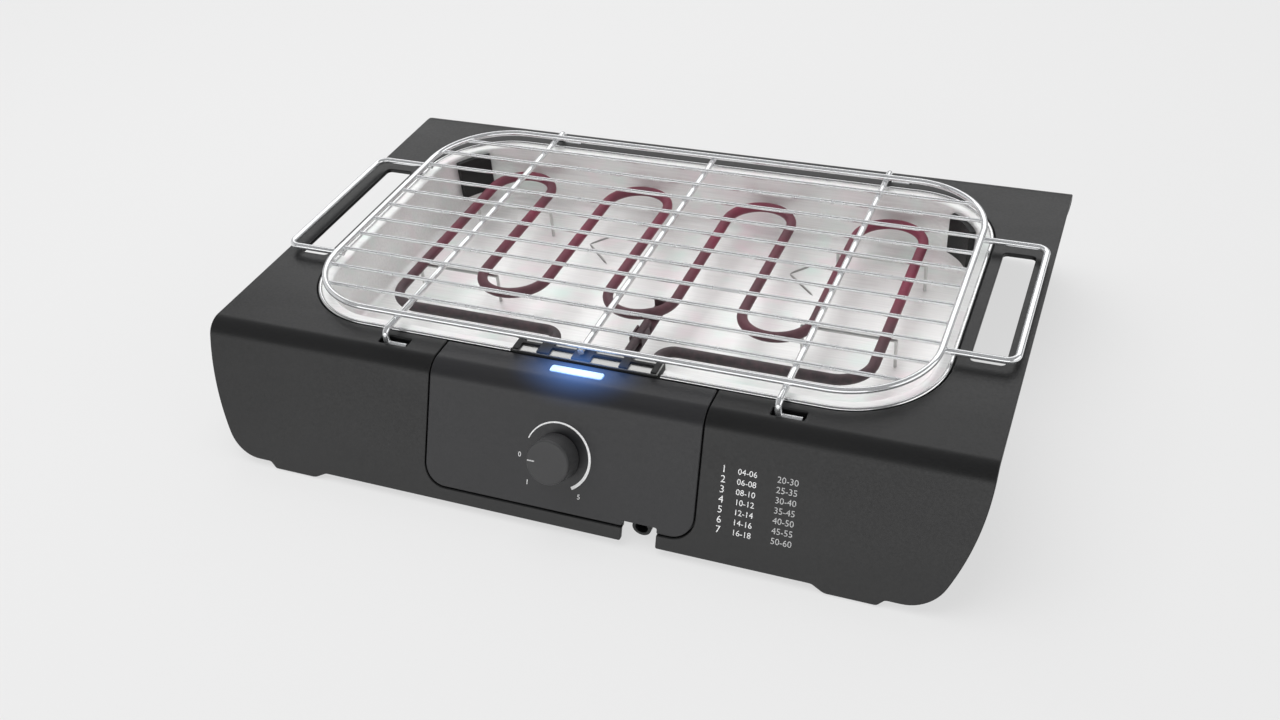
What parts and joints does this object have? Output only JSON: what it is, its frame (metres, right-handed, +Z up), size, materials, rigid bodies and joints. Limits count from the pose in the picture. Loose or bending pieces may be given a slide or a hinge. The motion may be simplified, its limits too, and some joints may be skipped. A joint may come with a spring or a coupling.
{
  "type": "table-top electric barbecue grill",
  "caption": "Low table-top electric grill: bent black housing with hand holes, bright lift-out tray, sheathed element, front panel with knob, and a lift-off chromed wire rack with handle loops.",
  "frame": {"origin": "on the table, under the middle of the grill", "axes": "+Z up, +X to the right along the grill, -Y towards the cook, where the control panel is"},
  "size_m": [0.503, 0.3762, 0.0952],
  "materials": {
    "housing_plastic": "fine satin texture",
    "panel_plastic": "fine satin texture",
    "pan_plastic": "matte heat-proof plastic",
    "post_plastic": "matte",
    "gland_plastic": "matte",
    "knob_plastic": "satin",
    "window_plastic": "translucent, lit pale blue",
    "board": "solder mask",
    "ceramic": "glazed ceramic",
    "foot_rubber": "matte",
    "tray_steel": "bright rolled sheet",
    "zinc_steel": "zinc plated",
    "element_sheath": "heat-darkened, dull dark red",
    "brass_parts": "plain",
    "rack_chrome": "bright chrome plating"
  },
  "bodies": {
    "housing": {"housing": "housing_plastic", "well_pan": "pan_plastic", "pan_screws": "zinc_steel", "rubber_feet": "foot_rubber"},
    "tray": {"reflector_tray": "tray_steel", "tray_corner_posts": "post_plastic"},
    "control_unit": {"control_panel": "panel_plastic", "control_back": "pan_plastic", "control_screws": "zinc_steel", "light_window": "window_plastic", "light_board": "board", "thermostat": "ceramic", "thermostat_nut": "brass_parts", "terminal_block": "ceramic", "cord_gland": "gland_plastic", "heat_shield": "zinc_steel", "head_comb": "post_plastic", "heating_element": "element_sheath", "element_flanges": "zinc_steel", "terminal_pins": "brass_parts", "element_stands": "zinc_steel", "sensor_bulb": "element_sheath", "sensor_strap": "zinc_steel"},
    "knob": {"knob": "knob_plastic", "knob_shaft": "zinc_steel"},
    "rack": {"rack_frame": "rack_chrome", "rack_cross_rods": "rack_chrome", "rack_bars": "rack_chrome", "rack_handle_left": "rack_chrome", "rack_handle_right": "rack_chrome"}
  },
  "joints": [
    {"name": "tray_lift", "type": "slide", "parent": "housing", "child": "tray", "axis": [0, 0, 1], "range_m": [0, 0.09]},
    {"name": "control_unit_lift", "type": "slide", "parent": "tray", "child": "control_unit", "axis": [0, 0, 1], "range_m": [0, 0.1]},
    {"name": "rack_lift", "type": "slide", "parent": "control_unit", "child": "rack", "axis": [0, 0, 1], "range_m": [0, 0.06]},
    {"name": "knob_turn", "type": "hinge", "parent": "control_unit", "child": "knob", "pos_m": [0, -0.16872, 0.04464], "axis": [0, 0.9143, -0.4051], "range_deg": [0, 270]}
  ]
}
